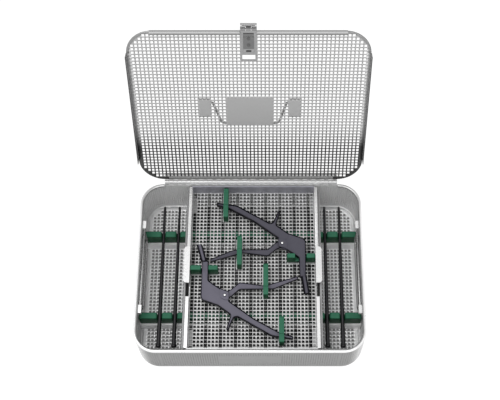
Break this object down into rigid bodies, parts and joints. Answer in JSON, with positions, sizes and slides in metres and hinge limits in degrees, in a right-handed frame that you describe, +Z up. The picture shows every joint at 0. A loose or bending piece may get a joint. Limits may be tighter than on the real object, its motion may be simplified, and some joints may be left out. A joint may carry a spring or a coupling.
{
  "type": "sterilization tray",
  "caption": "Perforated steel instrument tray with a hinged lid, latch, drop handles, a lift-out inner tray and silicone holders carrying rods and two levered hand instruments.",
  "frame": {"origin": "centre of the face that the basket stands on", "axes": "+X to the right, +Y to the back where the lid is hinged, +Z up"},
  "size_m": [0.3018, 0.3381, 0.3019],
  "materials": {
    "perforated_steel": "punched stainless sheet, satin",
    "formed_steel": "bent stainless sheet and wire, electropolished",
    "bright_pin": "polished stainless",
    "silicone_green": "moulded silicone, satin",
    "instrument_dark": "dark grey coated metal, semi-matt",
    "rod_black": "black coated metal, semi-gloss"
  },
  "bodies": {
    "base": {"base_floor": "perforated_steel", "base_rim": "formed_steel", "corner_back_left": "perforated_steel", "corner_back_right": "perforated_steel", "corner_front_left": "perforated_steel", "corner_front_right": "perforated_steel", "cross_rail_back": "formed_steel", "cross_rail_front": "formed_steel", "divider_left": "perforated_steel", "divider_right": "perforated_steel", "hinge_base_leaf": "formed_steel", "hinge_pin": "bright_pin", "rod_holder_back": "silicone_green", "rod_holder_front": "silicone_green", "side_lugs_left": "formed_steel", "side_lugs_right": "formed_steel", "wall_back": "perforated_steel", "wall_front": "perforated_steel", "wall_left": "perforated_steel", "wall_right": "perforated_steel"},
    "lid": {"hinge_lid_leaf": "formed_steel", "lid_panel": "perforated_steel", "lid_flange_front": "formed_steel", "lid_flange_left": "formed_steel", "lid_flange_right": "formed_steel", "latch_plate": "formed_steel", "latch_rivets": "bright_pin", "latch_pin": "bright_pin", "handle_lug_left": "formed_steel", "handle_lug_right": "formed_steel"},
    "latch": {"latch_flap": "formed_steel"},
    "lid_bail": {"lid_handle": "formed_steel"},
    "left_bail": {"side_handle_left": "formed_steel"},
    "right_bail": {"side_handle_right": "formed_steel"},
    "insert": {"insert_floor": "perforated_steel", "insert_wall_left": "formed_steel", "insert_wall_right": "formed_steel", "insert_wall_front": "formed_steel", "insert_wall_back": "formed_steel", "holder_feet": "formed_steel", "holder_back_arm": "silicone_green", "holder_right_lever": "silicone_green", "holder_left_lever": "silicone_green", "holder_front_arm": "silicone_green", "holder_left_shaft": "silicone_green", "holder_right_shaft": "silicone_green"},
    "instrument_left": {"instrument_frame_left": "instrument_dark", "pivot_screw_left": "bright_pin"},
    "instrument_right": {"instrument_frame_right": "instrument_dark", "pivot_screw_right": "bright_pin"},
    "lever_left": {"instrument_lever_left": "instrument_dark"},
    "lever_right": {"instrument_lever_right": "instrument_dark"},
    "rod_far_left_body": {"rod_far_left": "rod_black"},
    "rod_near_left_body": {"rod_near_left": "rod_black"},
    "rod_near_right_body": {"rod_near_right": "rod_black"},
    "rod_far_right_body": {"rod_far_right": "rod_black"}
  },
  "joints": [
    {"name": "lid_hinge", "type": "hinge", "parent": "base", "child": "lid", "pos_m": [0, 0.1215, 0.0698], "axis": [-1, 0, 0], "range_deg": [-112, 0]},
    {"name": "latch_hinge", "type": "hinge", "parent": "lid", "child": "latch", "pos_m": [0, 0.21487, 0.2961], "axis": [-1, 0, 0], "range_deg": [-90, 0]},
    {"name": "lid_handle_hinge", "type": "hinge", "parent": "lid", "child": "lid_bail", "pos_m": [0, 0.17632, 0.18894], "axis": [1, 0, 0], "range_deg": [-22, 68]},
    {"name": "left_handle_hinge", "type": "hinge", "parent": "base", "child": "left_bail", "pos_m": [-0.1432, 0, 0.0629], "axis": [0, -1, 0], "range_deg": [0, 180]},
    {"name": "right_handle_hinge", "type": "hinge", "parent": "base", "child": "right_bail", "pos_m": [0.1432, 0, 0.0629], "axis": [0, 1, 0], "range_deg": [0, 180]},
    {"name": "insert_lift", "type": "slide", "parent": "base", "child": "insert", "axis": [0, 0, 1], "range_m": [0, 0.09]},
    {"name": "instrument_left_lift", "type": "slide", "parent": "insert", "child": "instrument_left", "axis": [0, 0, 1], "range_m": [0, 0.06]},
    {"name": "instrument_right_lift", "type": "slide", "parent": "insert", "child": "instrument_right", "axis": [0, 0, 1], "range_m": [0, 0.06]},
    {"name": "lever_left_pivot", "type": "hinge", "parent": "instrument_left", "child": "lever_left", "pos_m": [-0.0332, -0.0392, 0.058], "axis": [0, 0, -1], "range_deg": [0, 6]},
    {"name": "lever_right_pivot", "type": "hinge", "parent": "instrument_right", "child": "lever_right", "pos_m": [0.0424, 0.0344, 0.058], "axis": [0, 0, -1], "range_deg": [0, 6]},
    {"name": "rod_far_left_lift", "type": "slide", "parent": "base", "child": "rod_far_left_body", "axis": [0, 0, 1], "range_m": [0, 0.06]},
    {"name": "rod_near_left_lift", "type": "slide", "parent": "base", "child": "rod_near_left_body", "axis": [0, 0, 1], "range_m": [0, 0.06]},
    {"name": "rod_near_right_lift", "type": "slide", "parent": "base", "child": "rod_near_right_body", "axis": [0, 0, 1], "range_m": [0, 0.06]},
    {"name": "rod_far_right_lift", "type": "slide", "parent": "base", "child": "rod_far_right_body", "axis": [0, 0, 1], "range_m": [0, 0.06]}
  ]
}
